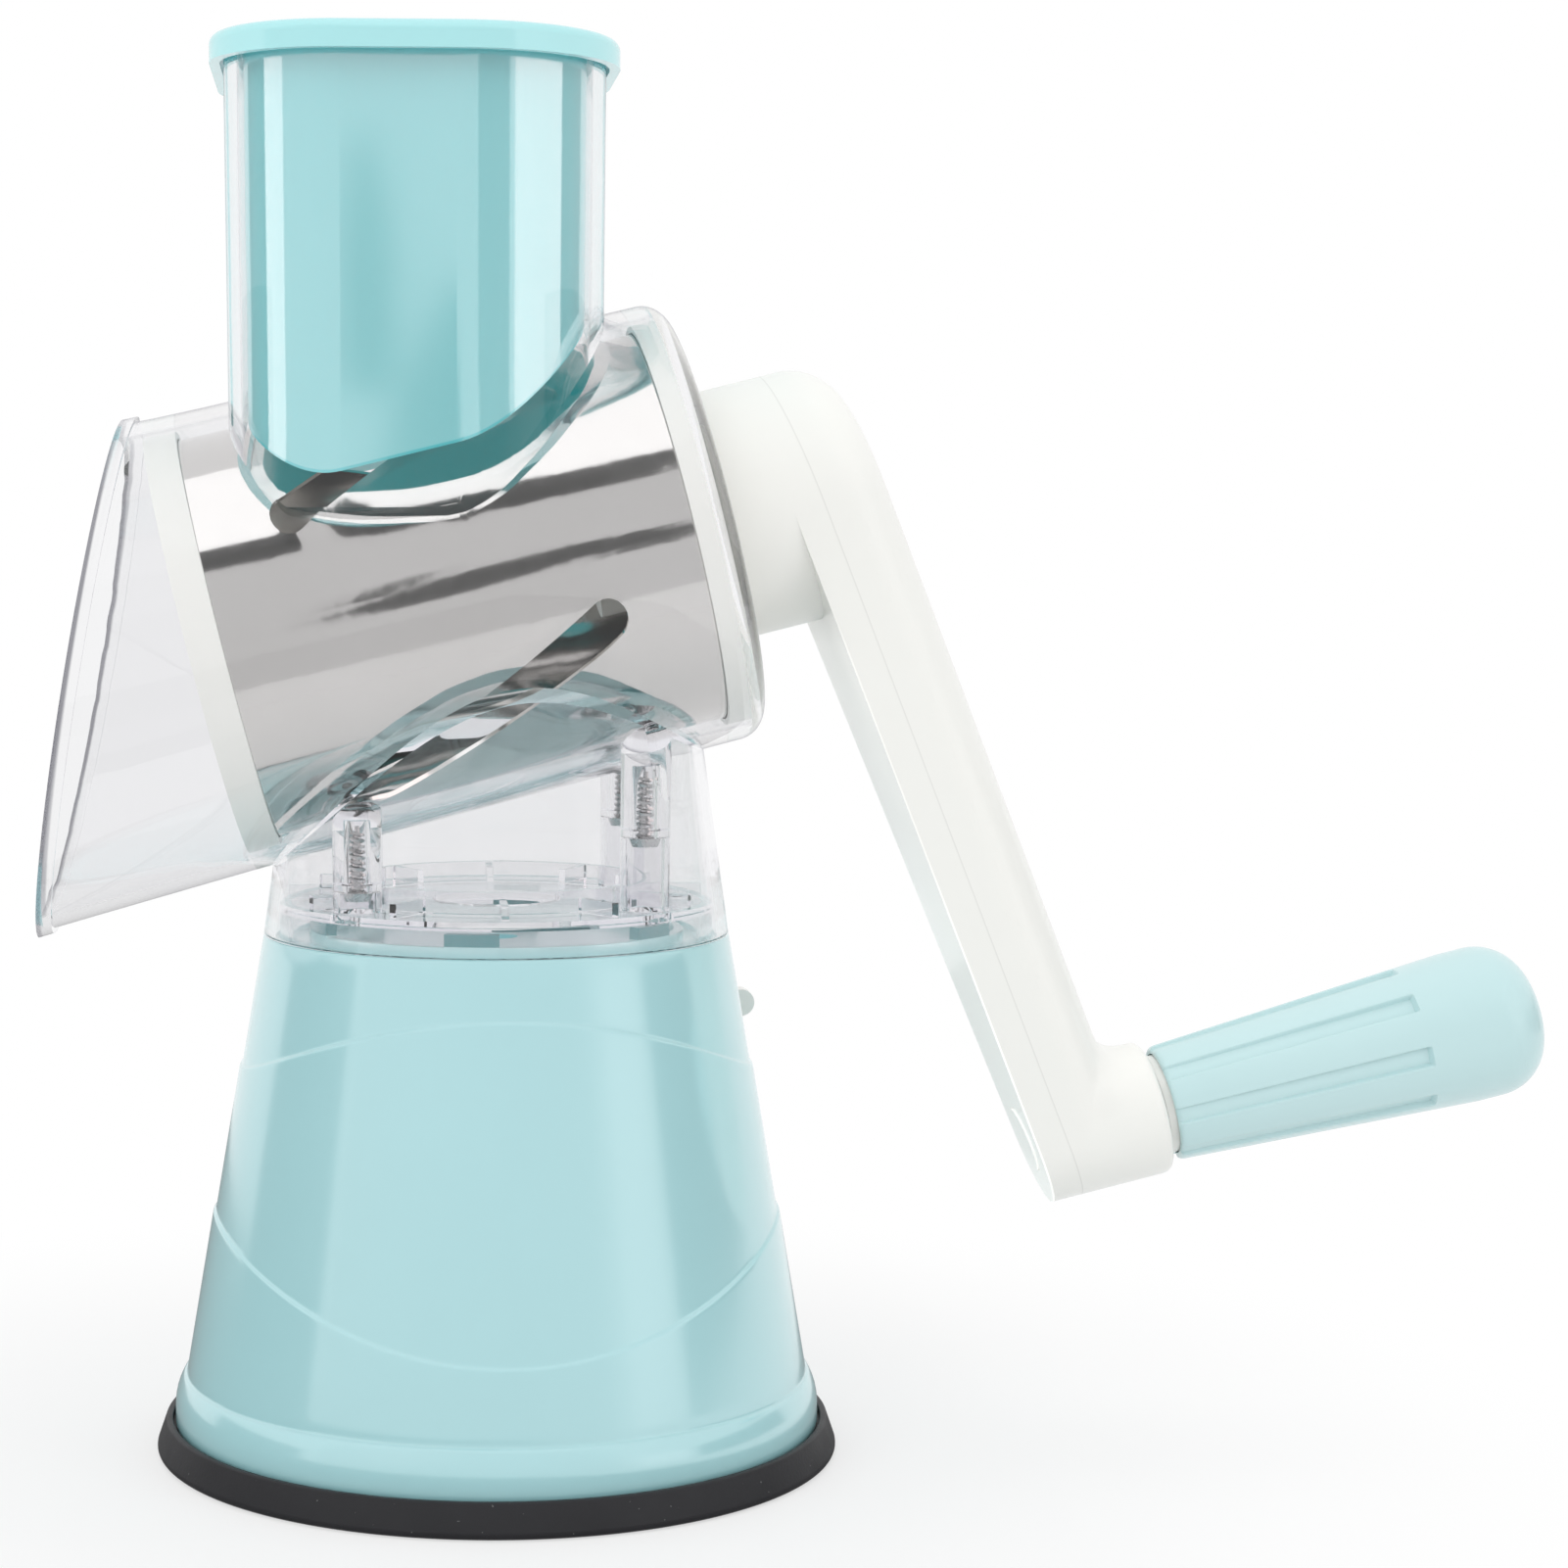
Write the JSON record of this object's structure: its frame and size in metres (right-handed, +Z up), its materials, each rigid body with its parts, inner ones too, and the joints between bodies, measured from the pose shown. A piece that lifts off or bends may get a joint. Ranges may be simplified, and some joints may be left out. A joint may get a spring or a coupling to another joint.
{
  "type": "rotary vegetable grater",
  "caption": "Hand-cranked rotary vegetable grater: clear barrel, hopper and neck, slotted steel drum, pusher, crank with turning knob, and a lever-locked suction base.",
  "frame": {"origin": "centre of the suction cup's lip, on the table", "axes": "+Z up through the base and neck, +X towards the crank, -X towards the mouth of the barrel"},
  "size_m": [0.2836, 0.128, 0.2594],
  "materials": {
    "black_rubber": "soft matt",
    "aqua_plastic": "smooth moulded gloss",
    "white_plastic": "smooth moulded satin gloss",
    "clear_plastic": "clear, polished",
    "drum_steel": "polished",
    "screw_steel": "bright zinc",
    "spring_steel": "drawn wire"
  },
  "bodies": {
    "base": {"suction_cup": "black_rubber", "base_shell": "aqua_plastic", "suction_chassis": "white_plastic", "base_screws": "screw_steel", "return_spring": "spring_steel", "barrel_housing": "clear_plastic", "neck_plate": "clear_plastic", "body_screws": "screw_steel"},
    "crank": {"drive_shaft": "white_plastic", "drive_screw": "screw_steel", "crank_inner": "white_plastic", "crank_outer": "white_plastic", "axle_cap": "white_plastic"},
    "drum": {"drum_shell": "drum_steel", "drum_front_ring": "white_plastic", "drum_rear_cap": "white_plastic"},
    "knob": {"knob_grip": "aqua_plastic", "knob_bush": "white_plastic", "knob_axle": "screw_steel"},
    "pusher": {"pusher": "aqua_plastic"},
    "lever": {"suction_lever": "white_plastic", "lever_screw": "screw_steel", "cam_shaft": "screw_steel", "lift_cam": "white_plastic"},
    "stem": {"pull_stem": "white_plastic"}
  },
  "joints": [
    {"name": "crank_turn", "type": "hinge", "parent": "base", "child": "crank", "pos_m": [0, 0, 0.1642], "axis": [0.9703, 0, 0.2419], "continuous": true},
    {"name": "drum_slide", "type": "slide", "parent": "crank", "child": "drum", "axis": [-0.9703, 0, -0.2419], "range_m": [0, 0.12]},
    {"name": "knob_turn", "type": "hinge", "parent": "crank", "child": "knob", "pos_m": [0.03114, 0, 0.03932], "axis": [0.9703, 0, 0.2419], "continuous": true},
    {"name": "pusher_lift", "type": "slide", "parent": "base", "child": "pusher", "axis": [0, 0, 1], "range_m": [0, 0.09]},
    {"name": "lever_turn", "type": "hinge", "parent": "base", "child": "lever", "pos_m": [0, 0.0562, 0.058], "axis": [0, -1, 0], "range_deg": [0, 90]},
    {"name": "stem_lift", "type": "slide", "parent": "base", "child": "stem", "axis": [0, 0, 1], "range_m": [0, 0.006], "deforming": ["return_spring"]}
  ],
  "couplings": [
    {"joint": "lever_turn", "follows": "stem_lift", "rad_per_m": 261.8}
  ]
}
